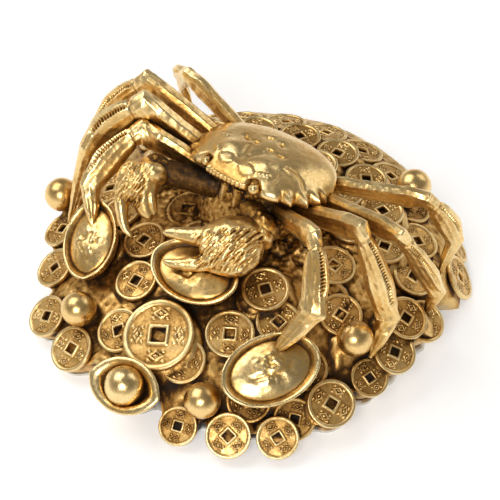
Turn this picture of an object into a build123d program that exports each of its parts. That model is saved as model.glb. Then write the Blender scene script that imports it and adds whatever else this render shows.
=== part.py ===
from build123d import *
import math
import os

# A cast-brass crab on a heap of coins, ingots and pearls, in millimetres.
# The crab faces -Y, +X is its own left side, and the mound's rim stands on Z = 0.

# Mound: a shallow dome cut round by a drum, hollow and open below
DOME_RADIUS = 130.0
CROWN_HEIGHT = 32.0
CROWN_BACK = 8.0
MOUND_RADIUS = 69.0
MOUND_WALL = 3.0

# Coins: raised rim, square hole with a raised border
COIN_THICKNESS = 1.8
COIN_RIM = 1.1
COIN_RELIEF = 0.35
COIN_HOLE_SHARE = 0.2
COIN_BORDER = 0.9
BIG_COIN = 24.5
TILE_COIN = 15.0
TILE_PITCH = 15.6
TILE_TURN = 35.0
TILE_ROOM = 0.45
TILE_INSET = 10.5
SKIRT_COIN = 16.0
SKIRT_PITCH = 16.4
SKIRT_LEAN = 58.0
SKIRT_ROOM = 0.3

# Ingots: a boat with rounded ends on a foot, with a dished top and a domed middle
INGOT_WIDTH_SHARE = 0.7
INGOT_HEIGHT = 8.5
INGOT_FOOT_SHARE = 0.5
INGOT_WAIST_SHARE = 0.86
INGOT_FLOOR_SHARE = 0.7
INGOT_DOME_SHARE = 0.32
INGOT_DOME_SINK = 3.5
INGOT_LIP = 1.4
INGOT_DISH = 3.0
INGOT_END = 2.0
INGOT_BALL = 14.0
INGOT_BALL_RISE = 2.0
PEARL = 12.0

# Crab body: its frame lies in the margin of the back shell, nose up
BODY_X = -2.0
BODY_Y = 11.0
BODY_RISE = 18.0
BODY_PITCH = 14.0
CARAPACE_WIDTH = 51.0
CARAPACE_LENGTH = 38.0
CARAPACE_RISE = 9.5
CARAPACE_EDGE = 2.2
TOOTH = 1.9
TEETH_FROM = 38.0
TEETH_TO = 82.0
TEETH = 5
BREAST_INSET = 5.0
BREAST_FORWARD = 4.0
BREAST_SINK = 4.0
BREAST_FOOT_WIDTH = 38.0
BREAST_FOOT_LENGTH = 42.0
EYE = 4.4
EYE_STALK = 2.4
EYE_STALK_LENGTH = 6.0
EYE_BEARING = 27.0
EYE_ROOM = 0.7
MOUTH_PLATE_WIDTH = 4.6
MOUTH_PLATE_HEIGHT = 8.0
MOUTH_PLATE_THICKNESS = 3.0
MOUTH_PLATE_APART = 5.4

# Limbs: oval castings on round pegs in the breast
ROOT = 4.6
ROOT_DEPTH = 3.5
ROOT_LENGTH = 7.5
ROOT_DROP = 10.0
ROOT_SHARE = 0.86
TIP = 2.2
ARM = 7.6
KNUCKLE = 9.0
FINGER = 7.0
FINGER_MIDDLE = 5.2
FINGER_TIP = 1.4
FINGER_SPREAD = 3.8
FINGER_BOW = 1.6

# Braze left between two pieces that lie on each other
BRAZE = 0.05

BASE = (Align.CENTER, Align.CENTER, Align.MIN)
DOME_CENTRE = Vector(0, CROWN_BACK, CROWN_HEIGHT - DOME_RADIUS)
BODY_AT = Vector(BODY_X, BODY_Y, CROWN_HEIGHT + BODY_RISE)
BODY_UP = Vector(0, math.sin(math.radians(BODY_PITCH)), math.cos(math.radians(BODY_PITCH)))
BODY = Plane(origin=BODY_AT, x_dir=(1, 0, 0), z_dir=BODY_UP)
BREAST_WIDTH = CARAPACE_WIDTH - 2 * BREAST_INSET
BREAST_LENGTH = CARAPACE_LENGTH - 2 * BREAST_INSET
BREAST_REAR = BODY_Y - BREAST_FORWARD + BREAST_FOOT_LENGTH / 2

# Three rows of coins share the ground between the mound's edge and the breast
TILE_ROW_PITCH = (MOUND_RADIUS - TILE_INSET - TILE_COIN / 2 - BREAST_REAR) / 2

# What lies on the mound so far: direction from the dome's centre, reach along the dome, height of its top
pile = []


def outward(x, y):
    """Direction from the dome's centre to the dome at a place in plan."""
    rise = math.sqrt(DOME_RADIUS**2 - x**2 - (y - CROWN_BACK) ** 2)
    return Vector(x, y - CROWN_BACK, rise) / DOME_RADIUS


def at_rim(bearing, inset):
    """Place in plan, from a bearing and a distance in from the mound's edge."""
    angle = math.radians(bearing)
    return ((MOUND_RADIUS - inset) * math.cos(angle), (MOUND_RADIUS - inset) * math.sin(angle))


def tangent_plane(direction, lift):
    """Plane square to a direction, at a height over the dome; its Y axis points up the slope."""
    origin = DOME_CENTRE + direction * (DOME_RADIUS + lift)
    return Plane(origin, x_dir=Vector(0, 0, 1).cross(direction), z_dir=direction)


def turned(plane, tilt, turn):
    """A plane tilted about its own X axis, then turned about its own Z axis."""
    return Plane(Location(plane) * Location((0, 0, 0), (tilt, 0, turn)))


def seat(x, y, reach, height=0.0, turn=0.0):
    """Plane on top of all that lies within reach of a place; what has a height then joins the pile."""
    direction = outward(x, y)
    lift = BRAZE
    for other, other_reach, top in pile:
        if (other - direction).length * DOME_RADIUS < reach + other_reach:
            lift = max(lift, top + other_reach**2 / (2 * DOME_RADIUS) + BRAZE)
    if height > 0:
        pile.append((direction, reach, lift + height))
    return turned(tangent_plane(direction, lift), 0, turn)


def coin(diameter):
    """A holed coin, lying on XY with its face up."""
    hole = diameter * COIN_HOLE_SHARE
    with BuildPart() as blank:
        Cylinder(diameter / 2, COIN_THICKNESS, align=BASE)
        with BuildSketch(Plane.XY.offset(COIN_THICKNESS)):
            Circle(diameter / 2 - COIN_RIM)
            Rectangle(hole + 2 * COIN_BORDER, hole + 2 * COIN_BORDER, mode=Mode.SUBTRACT)
        extrude(amount=-COIN_RELIEF, mode=Mode.SUBTRACT)
        with BuildSketch():
            Rectangle(hole, hole)
        extrude(amount=COIN_THICKNESS, mode=Mode.SUBTRACT)
    return blank.part


def coin_group(places):
    """Coins laid one after the other, each on what lies under it: x, y, diameter and turn."""
    laid = []
    for x, y, diameter, turn in places:
        plane = seat(x, y, diameter / 2, COIN_THICKNESS, turn)
        laid.append(coin(diameter).moved(Location(plane)))
    with BuildPart() as group:
        add(laid, clean=False)
    return group


def tile_row(inset, first, last, tilt):
    """Coins in a row round the back of the mound, tilted up at their outer edges like roof tiles."""
    step = math.degrees(TILE_PITCH / (MOUND_RADIUS - inset))
    lift = BRAZE + TILE_COIN / 2 * math.sin(math.radians(tilt))
    planes = []
    for index in range(int((last - first) / step) + 1):
        direction = outward(*at_rim(first + index * step, inset))
        planes.append(turned(tangent_plane(direction, lift), -tilt, TILE_TURN * index))
        pile.append((direction, TILE_COIN / 2, 2 * lift + COIN_THICKNESS))
    with BuildPart() as row:
        with Locations(*planes):
            add(coin(TILE_COIN), clean=False)
    return row


def skirt_row(first, last):
    """Coins that stand on the floor and lean on the mound's edge, or on its wall where that is higher."""
    lean = math.radians(SKIRT_LEAN)
    top = SKIRT_COIN * math.sin(lean)
    step = math.degrees(SKIRT_PITCH / (MOUND_RADIUS + SKIRT_COIN / 4))
    planes = []
    for index in range(int((last - first) / step) + 1):
        x, y = at_rim(first + index * step, 0)
        edge = DOME_CENTRE + outward(x, y) * DOME_RADIUS
        away = Vector(x, y, 0).normalized()
        face = away * math.sin(lean) + Vector(0, 0, math.cos(lean))
        down = away * math.cos(lean) - Vector(0, 0, math.sin(lean))
        hold = min(edge.Z, top)
        foot = Vector(x, y, hold) + down * (hold / math.sin(lean))
        middle = foot - down * (SKIRT_COIN / 2 + SKIRT_ROOM) + face * SKIRT_ROOM
        plane = Plane(middle, x_dir=face.cross(down), z_dir=face)
        planes.append(turned(plane, 0, TILE_TURN * index))
    with BuildPart() as row:
        with Locations(*planes):
            add(coin(SKIRT_COIN), clean=False)
    return row


def draw_boat(length, width):
    """Boat outline in the sketch at hand: two arcs that meet at the ends."""
    radius = (length**2 + width**2) / (4 * width)
    with Locations((0, radius - width / 2)):
        Circle(radius)
    with Locations((0, width / 2 - radius)):
        Circle(radius, mode=Mode.INTERSECT)


def ingot(plane, length, ball):
    """A boat-shaped ingot that stands on a plane; its middle is a round ball or an oval dome."""
    width = length * INGOT_WIDTH_SHARE
    floor = INGOT_HEIGHT - INGOT_DISH
    with BuildPart() as middle:
        if ball:
            with Locations(plane.offset(floor + INGOT_BALL_RISE)):
                Sphere(INGOT_BALL / 2)
        else:
            with BuildSketch(plane.offset(floor - INGOT_DOME_SINK)):
                Ellipse(length * INGOT_DOME_SHARE, width * INGOT_DOME_SHARE)
                Rectangle(length, width, align=(Align.CENTER, Align.MAX), mode=Mode.SUBTRACT)
            revolve(axis=Axis(plane.offset(floor - INGOT_DOME_SINK).origin, plane.x_dir))
        split(bisect_by=plane.offset(floor))
    with BuildPart() as boat:
        for rise, share in ((0, INGOT_FOOT_SHARE), (0.5, INGOT_WAIST_SHARE), (1, 1)):
            with BuildSketch(plane.offset(INGOT_HEIGHT * rise)) as hull:
                draw_boat(length * share, width * share)
                fillet(hull.vertices(), INGOT_END)
        loft()
        for height, share in ((floor, INGOT_FLOOR_SHARE), (INGOT_HEIGHT, 1)):
            with BuildSketch(plane.offset(height)) as dish:
                draw_boat((length - 2 * INGOT_LIP) * share, (width - 2 * INGOT_LIP) * share)
                fillet(dish.vertices(), INGOT_END)
        loft(mode=Mode.SUBTRACT)
        add(middle.part)
    return boat


def over_plan(plane, x, y):
    """Point over a place in plan, on a tilted plane."""
    normal = plane.z_dir
    fall = normal.X * (x - plane.origin.X) + normal.Y * (y - plane.origin.Y)
    return Vector(x, y, plane.origin.Z - fall / normal.Z)


def limb(stations):
    """A loft through ovals: point, direction, side direction, thickness along the side, depth across it."""
    with BuildPart() as casting:
        for point, direction, side, thickness, depth in stations:
            upright = direction.cross(side)
            with BuildSketch(Plane(point, x_dir=upright, z_dir=direction)):
                Ellipse(depth / 2, thickness / 2)
        loft(ruled=True)
    return casting.part


def socket(root, direction, diameter, length):
    """The round hole in the breast that takes a limb's root."""
    with BuildPart() as bore:
        with Locations(Plane(root - direction * (ROOT_DEPTH + BRAZE), z_dir=direction)):
            Cylinder(diameter / 2 + BRAZE, ROOT_DEPTH + length, align=BASE)
    return bore.part


def breast_point(bearing):
    """Point under the flank of the breast where a limb is rooted; bearing 0 is the crab's left side."""
    x = ROOT_SHARE * BREAST_WIDTH / 2 * math.cos(math.radians(bearing))
    y = ROOT_SHARE * BREAST_LENGTH / 2 * math.sin(math.radians(bearing))
    return BODY.from_local_coords(Vector(x, y, -ROOT_DROP))


def margin_point(bearing):
    """Point on the back shell's margin, in its own plane; bearing 0 is the nose, 90 the left side."""
    angle = math.radians(bearing)
    return (CARAPACE_WIDTH / 2 * math.sin(angle), -CARAPACE_LENGTH / 2 * math.cos(angle))


os.makedirs("parts", exist_ok=True)

# Mound shell
with BuildPart() as mound_hollow:
    Cylinder(MOUND_RADIUS - MOUND_WALL, CROWN_HEIGHT, align=BASE)
    with Locations(DOME_CENTRE):
        Sphere(DOME_RADIUS - MOUND_WALL, mode=Mode.INTERSECT)
with BuildPart() as mound_shell:
    Cylinder(MOUND_RADIUS, CROWN_HEIGHT, align=BASE)
    with Locations(DOME_CENTRE):
        Sphere(DOME_RADIUS, mode=Mode.INTERSECT)
    add(mound_hollow.part, mode=Mode.SUBTRACT)
mound_shell.part.label = "mound_shell"
export_step(mound_shell.part, "parts/mound_shell.step")

# Coins: x and y in plan, diameter, turn of the square hole; laid in this order
COINS = {
    "front_coins": [
        (*at_rim(-82.69, 1.45), 13.0, 35),
        (-14.4, -39.0, 15.0, 20),
        (-8.2, -54.7, 15.5, 55),
        (16.7, -51.4, 16.0, 10),
        (24.2, -36.4, 16.5, 5),
        (34.0, -23.5, 15.0, 40),
        (24.2, -18.5, 16.0, 15),
        (-22.6, -25.7, 15.0, 30),
    ],
    "big_coin": [(5.7, -49.7, BIG_COIN, 25)],
    "front_rim_coins": [
        (*at_rim(-107.0, 0.4), 16.0, 15),
        (*at_rim(-121.4, -1.3), 15.0, 40),
        (*at_rim(-136.1, 4.1), 15.0, 10),
        (*at_rim(-151.2, 4.6), 15.0, 60),
        (*at_rim(-67.5, -2.6), 13.0, 0),
        (*at_rim(-48.8, 5.9), 15.0, 25),
        (*at_rim(-36.8, -0.8), 14.0, 70),
        (*at_rim(-54.1, -3.4), 15.0, 50),
        (*at_rim(-41.9, -4.7), 14.0, 30),
    ],
    "left_coins": [
        (49.5, -28.5, 15.0, 20),
        (*at_rim(-13.0, 1.8), 13.0, 10),
        (*at_rim(-3.0, 3.2), 15.0, 35),
        (*at_rim(12.2, 1.9), 15.0, 5),
        (*at_rim(-26.5, 0.3), 16.0, 45),
        (*at_rim(6.5, 7.4), 15.0, 15),
        (46.9, -7.2, 15.0, 30),
        (34.3, 4.8, 15.0, 10),
    ],
    "right_coins": [
        (-39.0, -19.0, 15.0, 35),
        (-52.0, -11.0, 16.0, 10),
        (*at_rim(-177.7, 0.4), 15.0, 20),
        (-41.0, -2.0, 15.0, 75),
    ],
}
for name, places in COINS.items():
    coins = coin_group(places)
    coins.part.label = name
    export_step(coins.part, f"parts/{name}.step")

# Rows of coins round the back, each over the row outside it
tile_tilt = math.degrees(math.atan((COIN_THICKNESS + TILE_ROOM) / TILE_ROW_PITCH))
TILE_ROWS = {
    "rear_coins_lower": (TILE_INSET, 24.0, 168.0, 0.0),
    "rear_coins_middle": (TILE_INSET + TILE_ROW_PITCH, 30.0, 164.0, tile_tilt),
    "rear_coins_upper": (TILE_INSET + 2 * TILE_ROW_PITCH, 36.0, 148.0, tile_tilt),
}
for name, row_shape in TILE_ROWS.items():
    row = tile_row(*row_shape)
    row.part.label = name
    export_step(row.part, f"parts/{name}.step")

# Coins that lean on the mound's edge
skirt_coins = skirt_row(36.0, 172.0)
skirt_coins.part.label = "skirt_coins"
export_step(skirt_coins.part, "parts/skirt_coins.step")

# Ingots: x and y in plan, length, turn, lean of the outer end, reach of the foot, and whether the
# dish holds a ball
INGOTS = {
    "ingot_front": (*at_rim(-82.56, 2.54), 27.0, 5.0, 0.0, 3.5, True),
    "ingot_right": (-34.0, -34.2, 30.0, -25.0, 14.0, 7.5, False),
    "ingot_centre": (4.2, -28.8, 33.0, 0.0, 0.0, 8.2, False),
    "ingot_left": (42.2, -37.7, 34.0, 20.0, 0.0, 8.5, False),
}
ingots = {}
ingot_planes = {}
for name, (x, y, length, turn, lean, reach, ball) in INGOTS.items():
    level = seat(x, y, reach, INGOT_HEIGHT, turn).offset(reach * math.sin(math.radians(lean)))
    ingot_planes[name] = Plane(Location(level) * Location((0, 0, 0), (0, lean, 0)))
    ingots[name] = ingot(ingot_planes[name], length, ball)
    ingots[name].part.label = name
    export_step(ingots[name].part, f"parts/{name}.step")

# Pearls, each resting among the coins
PEARLS = [(-22.8, -55.1), (30.5, -56.5), (54.8, -12.4), (-60.2, -22.0), (31.0, 49.0)]
pearl_reach = math.sqrt(PEARL * COIN_THICKNESS - COIN_THICKNESS**2)
with BuildPart() as pearls:
    for x, y in PEARLS:
        with Locations(seat(x, y, pearl_reach).offset(PEARL / 2)):
            Sphere(PEARL / 2)
pearls.part.label = "pearls"
export_step(pearls.part, "parts/pearls.step")

# Breast casting, before its sockets are cut
with BuildPart() as breast:
    with BuildSketch(BODY.offset(-BRAZE)):
        Ellipse(BREAST_WIDTH / 2, BREAST_LENGTH / 2)
    with BuildSketch(Plane((BODY_X, BODY_Y - BREAST_FORWARD, CROWN_HEIGHT - BREAST_SINK))):
        Ellipse(BREAST_FOOT_WIDTH / 2, BREAST_FOOT_LENGTH / 2)
    loft()
    with Locations(DOME_CENTRE):
        Sphere(DOME_RADIUS + BRAZE, mode=Mode.SUBTRACT)

# Back shell: an oval with teeth and eye sockets, domed by a barrel that lies across the crab
half_width = CARAPACE_WIDTH / 2
half_length = CARAPACE_LENGTH / 2
crown_drop = CARAPACE_RISE - CARAPACE_EDGE
barrel_radius = (half_length**2 + crown_drop**2) / (2 * crown_drop)
barrel_axis = BODY.offset(CARAPACE_RISE - barrel_radius)
eye_places = [Vector(*margin_point(side * EYE_BEARING), EYE / 2) for side in (1, -1)]
eye_planes = [Plane(BODY.from_local_coords(place), z_dir=BODY.y_dir) for place in eye_places]
tooth_bearings = [TEETH_FROM + (TEETH_TO - TEETH_FROM) * index / (TEETH - 1) for index in range(TEETH)]
with BuildPart() as carapace:
    with BuildSketch(BODY):
        Ellipse(half_width, half_length)
        for bearing in tooth_bearings:
            for side in (1, -1):
                with Locations(margin_point(side * bearing)):
                    RegularPolygon(TOOTH, 3, rotation=side * bearing - 90)
        with Locations(margin_point(EYE_BEARING), margin_point(-EYE_BEARING)):
            Circle(EYE / 2 + EYE_ROOM, mode=Mode.SUBTRACT)
    extrude(amount=CARAPACE_RISE)
    with BuildSketch(Plane(barrel_axis.origin, x_dir=BODY.x_dir, z_dir=-BODY.y_dir)):
        with BuildLine():
            reach = half_width + TOOTH
            edge = barrel_radius - crown_drop
            top = ThreePointArc((-reach, edge), (0, barrel_radius), (reach, edge))
            Polyline(top @ 0, (-reach, 0), (reach, 0), top @ 1)
        make_face()
    revolve(axis=Axis(barrel_axis.origin, BODY.x_dir), mode=Mode.INTERSECT)
    with Locations(*eye_planes):
        Cylinder(EYE_STALK / 2 + BRAZE, EYE_STALK_LENGTH + BRAZE, align=BASE, mode=Mode.SUBTRACT)
carapace.part.label = "carapace"
export_step(carapace.part, "parts/carapace.step")

# Eyes: a ball in each socket, on a stalk bored into the shell
with BuildPart() as eyes:
    with Locations(*eye_planes):
        Sphere(EYE / 2)
        Cylinder(EYE_STALK / 2, EYE_STALK_LENGTH, align=BASE)
eyes.part.label = "eyes"
export_step(eyes.part, "parts/eyes.step")

# Mouth plates on the front of the breast
mouth_y = -BREAST_LENGTH / 2
with BuildPart() as mouth_plates:
    for side in (1, -1):
        middle = BODY.from_local_coords(Vector(side * MOUTH_PLATE_APART / 2, mouth_y, -MOUTH_PLATE_HEIGHT))
        with Locations(Plane(middle, x_dir=BODY.x_dir, z_dir=BODY.z_dir)):
            Box(MOUTH_PLATE_WIDTH, MOUTH_PLATE_THICKNESS, MOUTH_PLATE_HEIGHT)
    add(breast.part, mode=Mode.SUBTRACT)
mouth_plates.part.label = "mouth_plates"
export_step(mouth_plates.part, "parts/mouth_plates.step")

# Legs: root bearing, knee and ankle from the body, tip in plan, stoutness, and the ingot the tip stands in,
# with the tip then given from the ingot's middle
LEGS = {
    "left_leg_1": (-40, (41, -20, 5), (51.5, -34.5, -10), (-0.9, 0.7), 1.0, "ingot_left"),
    "left_leg_2": (-12, (51.5, -9, 10), (65.5, -14, -22), (63.0, -11.5), 1.0, None),
    "left_leg_3": (15, (60.5, -3.5, 7), (69.0, 8, -24), (64.5, 16.5), 0.85, None),
    "left_leg_4": (44, (53.4, 19.3, 0), (62, 26.5, -20), (57.0, 35.0), 0.85, None),
    "right_leg_1": (220, (-37, -18, 0), (-44.5, -36, -14), (-2.5, 6.8), 1.1, "ingot_right"),
    "right_leg_2": (192, (-42, -12.8, 8), (-54.5, -30, -8), (-56.0, -28.5), 1.15, None),
    "right_leg_3": (165, (-49.9, -1.7, 6), (-63.5, -13, -14), (-63.0, -7.0), 1.0, None),
    "right_leg_4": (139, (-44.5, 14, 1), (-56, 24, -16), (-56.0, 37.0), 0.9, None),
}
# Leg sections: segment, share along it, thickness, depth and outward bow
LEG_SECTIONS = [
    ("merus", 0.4, 5.6, 8.0, 0.0),
    ("merus", 0.85, 5.4, 7.6, 0.0),
    ("knee", 0.0, 5.8, 8.0, 0.0),
    ("shin", 0.2, 5.0, 7.4, 1.2),
    ("shin", 0.55, 5.0, 8.8, 2.0),
    ("ankle", 0.0, 4.0, 5.6, 0.0),
    ("toe", 0.5, 3.2, 4.0, 0.0),
]
sockets = []
for name, (bearing, knee_offset, ankle_offset, tip_place, stoutness, stand) in LEGS.items():
    root = breast_point(bearing)
    knee = BODY_AT + Vector(knee_offset)
    ankle = BODY_AT + Vector(ankle_offset)
    if stand:
        tip_plane = ingot_planes[stand].offset(INGOT_HEIGHT - INGOT_DISH)
        middle = ingot_planes[stand].origin
        tip = over_plan(tip_plane, middle.X + tip_place[0], middle.Y + tip_place[1])
    else:
        tip_plane = seat(*tip_place, TIP / 2)
        tip = tip_plane.origin
    merus = (knee - root).normalized()
    shin = (ankle - knee).normalized()
    toe = (tip - ankle).normalized()
    shin_side = merus.cross(shin).normalized()
    merus_side = Vector(0, 0, 1).cross(merus).normalized()
    if merus_side.dot(shin_side) < 0:
        merus_side = -merus_side
    spans = {
        "merus": (root, knee, merus, merus_side),
        "knee": (knee, knee, (merus + shin).normalized(), (merus_side + shin_side).normalized()),
        "shin": (knee, ankle, shin, shin_side),
        "ankle": (ankle, ankle, (shin + toe).normalized(), shin_side),
        "toe": (ankle, tip, toe, shin_side),
    }
    stations = [
        (root - merus * ROOT_DEPTH, merus, merus_side, ROOT, ROOT),
        (root + merus * ROOT_LENGTH, merus, merus_side, ROOT, ROOT),
    ]
    for segment, share, thickness, depth, bow in LEG_SECTIONS:
        start, end, direction, side = spans[segment]
        point = start + (end - start) * share + (merus - shin).normalized() * bow
        stations.append((point, direction, side, thickness * stoutness, depth * stoutness))
    stations.append((tip, -tip_plane.z_dir, shin_side, TIP, TIP))
    with BuildPart() as leg:
        add(limb(stations))
        if stand:
            add(ingots[stand].part, mode=Mode.SUBTRACT)
    leg.part.label = name
    export_step(leg.part, f"parts/{name}.step")
    sockets.append(socket(root, merus, ROOT, ROOT_LENGTH))

# Claw arms: root bearing and wrist from the body; each ends in a round knuckle
ARMS = {
    "left": (-70, (16.5, -19.0, -7.0)),
    "right": (250, (-27.0, -23.5, -3.5)),
}
# Claws: palm stations from the wrist with thickness and depth, way across the palm, the two finger tips
CLAWS = {
    "left": (
        [
            ((-0.7, -2, 0), 10, 11),
            ((-2.5, -7, -0.5), 13, 18),
            ((-6.5, -12.5, -1.5), 14, 20),
            ((-12, -16, -3.5), 11, 16),
        ],
        (-0.45, 0.8, 0.4),
        [(-28.9, -18.9, -6), (-21.5, -26.8, -7)],
    ),
    "right": (
        [
            ((0, -2, 0), 10, 10),
            ((-0.5, -6.5, -0.5), 13, 15),
            ((-0.5, -11.5, -3), 13, 16),
            ((1.5, -14.5, -7.5), 10, 13),
        ],
        (0.5, 0.84, 0.2),
        [(7, -11.1, -14.5), (5.8, -20, -16.5)],
    ),
}
for side, (bearing, wrist_offset) in ARMS.items():
    root = breast_point(bearing)
    wrist = BODY_AT + Vector(wrist_offset)
    along = (wrist - root).normalized()
    with BuildPart() as arm:
        with Locations(Plane(root - along * ROOT_DEPTH, z_dir=along)):
            Cylinder(ARM / 2, ROOT_DEPTH + (wrist - root).length, align=BASE)
        with Locations(Plane(wrist, z_dir=along)):
            Sphere(KNUCKLE / 2)
    arm.part.label = f"{side}_claw_arm"
    export_step(arm.part, f"parts/{side}_claw_arm.step")
    sockets.append(socket(root, along, ARM, (wrist - root).length))

    palm, across, tips = CLAWS[side]
    across = Vector(across).normalized()
    points = [wrist + Vector(offset) for offset, thickness, depth in palm]
    end = points[-1]
    heading = (end - points[0]).normalized()
    thin = heading.cross(across).normalized()
    stations = []
    for index, (offset, thickness, depth) in enumerate(palm):
        direction = points[min(index + 1, len(points) - 1)] - points[max(index - 1, 0)]
        stations.append((points[index], direction.normalized(), thin, thickness, depth))
    fingers = []
    for tip_offset, way in zip(tips, (1, -1)):
        tip = wrist + Vector(tip_offset)
        base = end + across * (way * FINGER_SPREAD) - heading * FINGER
        middle = (base + tip) / 2 + across * (way * FINGER_BOW)
        fingers.append(
            [
                (base, (middle - base).normalized(), thin, FINGER, FINGER),
                (middle, (tip - base).normalized(), thin, FINGER_MIDDLE, FINGER_MIDDLE),
                (tip, (tip - middle).normalized(), thin, FINGER_TIP, FINGER_TIP),
            ]
        )
    with BuildPart() as claw:
        add(limb(stations))
        for finger in fingers:
            add(limb(finger))
        with Locations(wrist):
            Sphere(KNUCKLE / 2 + BRAZE, mode=Mode.SUBTRACT)
        add(arm.part, mode=Mode.SUBTRACT)
        add(ingots["ingot_centre"].part, mode=Mode.SUBTRACT)
    claw.part.label = f"{side}_claw"
    export_step(claw.part, f"parts/{side}_claw.step")

# Underbody: the breast with a socket for each limb
with BuildPart() as underbody:
    add(breast.part)
    add(sockets, mode=Mode.SUBTRACT)
underbody.part.label = "underbody"
export_step(underbody.part, "parts/underbody.step")
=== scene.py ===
# %% [markdown]
# # A cast-brass crab on a heap of coins
# The real object is a small lost-wax ornament: a crab stands on a mound of holed coins, boat-shaped
# ingots and pearls. The CAD frame holds every piece as a plain solid. This lesson casts each of them again
# with the detail that the wax had: teeth, beads, ribs, rims and rocky webs, and then gives the brass its
# patina and painted shade.

# %% Load the CAD frame
from contextlib import contextmanager
from math import atan2, cos, pi, radians, sin, sqrt

import bpy
import numpy as np
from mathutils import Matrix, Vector, noise
from mathutils.bvhtree import BVHTree
from mathutils.kdtree import KDTree


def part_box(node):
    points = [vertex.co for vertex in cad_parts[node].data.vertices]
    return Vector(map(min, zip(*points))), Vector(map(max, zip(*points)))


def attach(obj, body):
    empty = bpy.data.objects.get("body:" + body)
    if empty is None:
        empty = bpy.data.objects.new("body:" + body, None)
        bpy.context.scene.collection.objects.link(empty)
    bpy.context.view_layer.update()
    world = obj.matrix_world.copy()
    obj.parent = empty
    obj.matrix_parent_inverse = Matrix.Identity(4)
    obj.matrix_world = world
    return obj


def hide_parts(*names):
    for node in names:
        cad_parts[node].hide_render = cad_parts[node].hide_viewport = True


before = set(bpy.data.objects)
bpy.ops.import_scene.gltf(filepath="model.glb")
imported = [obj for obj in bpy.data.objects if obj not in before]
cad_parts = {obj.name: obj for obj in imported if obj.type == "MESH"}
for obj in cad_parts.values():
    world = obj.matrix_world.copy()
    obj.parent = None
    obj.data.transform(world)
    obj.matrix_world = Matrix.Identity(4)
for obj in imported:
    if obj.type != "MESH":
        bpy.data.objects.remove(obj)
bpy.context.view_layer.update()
MM = 0.001
print("CAD nodes:", len(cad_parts))

# %% [markdown]
# ## Floor, light and camera
# The ornament stands on a white table under large softboxes. Brass shows what it reflects, so the lamps are
# wide and gentle: a small lamp would give hard white spots. The floor is white card that keeps a soft shadow;
# a little glow for the camera and for reflections lifts it to the white of the background.

# %% Colours and nodes
def linear(hex_colour):
    """Linear RGBA of an sRGB hex colour."""
    channels = [int(hex_colour[i:i + 2], 16) / 255 for i in (1, 3, 5)]
    return [c / 12.92 if c <= 0.04045 else ((c + 0.055) / 1.055) ** 2.4 for c in channels] + [1.0]


def add_node(tree, kind, feeds=None, **settings):
    """Adds a node; feeds are values or sockets for its inputs, by name or number."""
    node = tree.nodes.new(kind)
    for name, value in settings.items():
        setattr(node, name, value)
    for socket, value in (feeds or {}).items():
        if isinstance(value, bpy.types.NodeSocket):
            tree.links.new(value, node.inputs[socket])
        else:
            node.inputs[socket].default_value = value
    return node


def combine(tree, operation, first, second):
    """Output of a Math node that works on two values or sockets."""
    return add_node(tree, "ShaderNodeMath", {0: first, 1: second}, operation=operation).outputs[0]


def remap(tree, value, low, high, first, last):
    """Output of a Map Range node that takes low to first and high to last."""
    return add_node(tree, "ShaderNodeMapRange", {0: value, 1: low, 2: high, 3: first, 4: last}).outputs[0]


# %% Floor
FLOOR_SIZE, FLOOR_DROP, FLOOR_GLOW = 6, 0.00002, 0.36
bpy.ops.object.select_all(action="DESELECT")
bpy.ops.mesh.primitive_plane_add(size=FLOOR_SIZE, location=(0, 0, -FLOOR_DROP))
floor = bpy.context.object
floor.name = "floor"
card = bpy.data.materials.new("white_card")
card.use_nodes = True
tree = card.node_tree
tree.nodes.clear()
rays = add_node(tree, "ShaderNodeLightPath").outputs
seen = combine(tree, "MAXIMUM", rays["Is Camera Ray"], rays["Is Glossy Ray"])
seen = combine(tree, "MAXIMUM", seen, rays["Is Transmission Ray"])
glow = combine(tree, "MULTIPLY", seen, FLOOR_GLOW)
lift = add_node(tree, "ShaderNodeEmission", {"Color": linear("#FFFFFF"), "Strength": glow})
matt = add_node(tree, "ShaderNodeBsdfDiffuse", {"Color": linear("#F2F2F2")})
both = add_node(tree, "ShaderNodeAddShader", {0: lift.outputs[0], 1: matt.outputs[0]})
add_node(tree, "ShaderNodeOutputMaterial", {"Surface": both.outputs[0]})
floor.data.materials.append(card)

# %% Lamps and world
def direction(bearing, height):
    """The way from the ornament to a bearing round from its front and a height, both in degrees."""
    turn, rise = radians(bearing), radians(height)
    return Vector((sin(turn) * cos(rise), -cos(turn) * cos(rise), sin(rise)))


def softbox(name, bearing, height, distance, size, power):
    """A square softbox that faces the ornament; distance and size in metres, power in watts."""
    place = direction(bearing, height) * distance
    bpy.ops.object.light_add(type="AREA", location=place)
    lamp = bpy.context.object
    lamp.name = name
    lamp.data.size = size
    lamp.data.energy = power
    lamp.rotation_euler = (-place).to_track_quat("-Z", "Y").to_euler()


softbox("key_softbox", 26, 42, 1.3, 0.55, 7.0)
softbox("left_softbox", -80, 55, 1.5, 1.1, 10.0)
softbox("rear_softbox", 165, 40, 1.5, 0.9, 3.0)
SKY_LOW, SKY_HIGH = 0.85, 0.24
world = bpy.data.worlds.new("studio")
bpy.context.scene.world = world
world.use_nodes = True
tree = world.node_tree
heading = add_node(tree, "ShaderNodeTexCoord").outputs["Generated"]
rise = add_node(tree, "ShaderNodeSeparateXYZ", {0: heading}).outputs["Z"]
backdrop = tree.nodes["Background"].inputs
backdrop["Color"].default_value = linear("#E2DAD0")
tree.links.new(remap(tree, rise, 0.0, 0.5, SKY_LOW, SKY_HIGH), backdrop["Strength"])

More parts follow.
